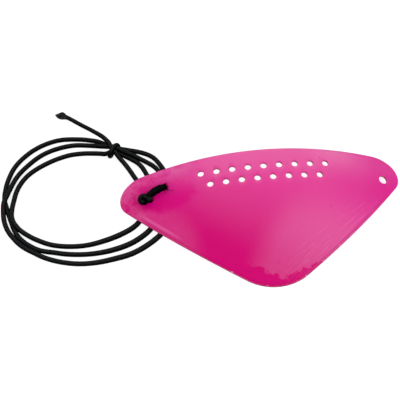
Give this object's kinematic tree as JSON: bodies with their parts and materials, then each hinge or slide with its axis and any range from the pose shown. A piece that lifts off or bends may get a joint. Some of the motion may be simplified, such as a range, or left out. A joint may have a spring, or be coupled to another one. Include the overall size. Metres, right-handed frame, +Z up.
{
  "type": "throat guard",
  "caption": "Dished plastic throat guard, a rounded triangle with two rows of vent holes, tied to a coiled elastic cord.",
  "frame": {"origin": "under the middle of the guard, on the surface that it rests on", "axes": "+X from the left tip to the right tip, +Y from the chin to the top edge, +Z up, out of the guard's bowed side"},
  "size_m": [0.3841, 0.2467, 0.0394],
  "materials": {
    "guard_plastic": "glossy translucent magenta-pink sheet with fine scratches",
    "cord_braid": "black braided cover over an elastic core",
    "cord_seal": "cord end melted flat and hard"
  },
  "bodies": {
    "root": {"guard_shell": "guard_plastic", "stopper_knot": "cord_braid", "knot_tag_end": "cord_braid", "cord_lead": "cord_braid", "cord_coil": "cord_braid", "coil_hitch": "cord_braid", "cord_tail": "cord_braid", "cord_tip": "cord_seal"}
  },
  "joints": []
}
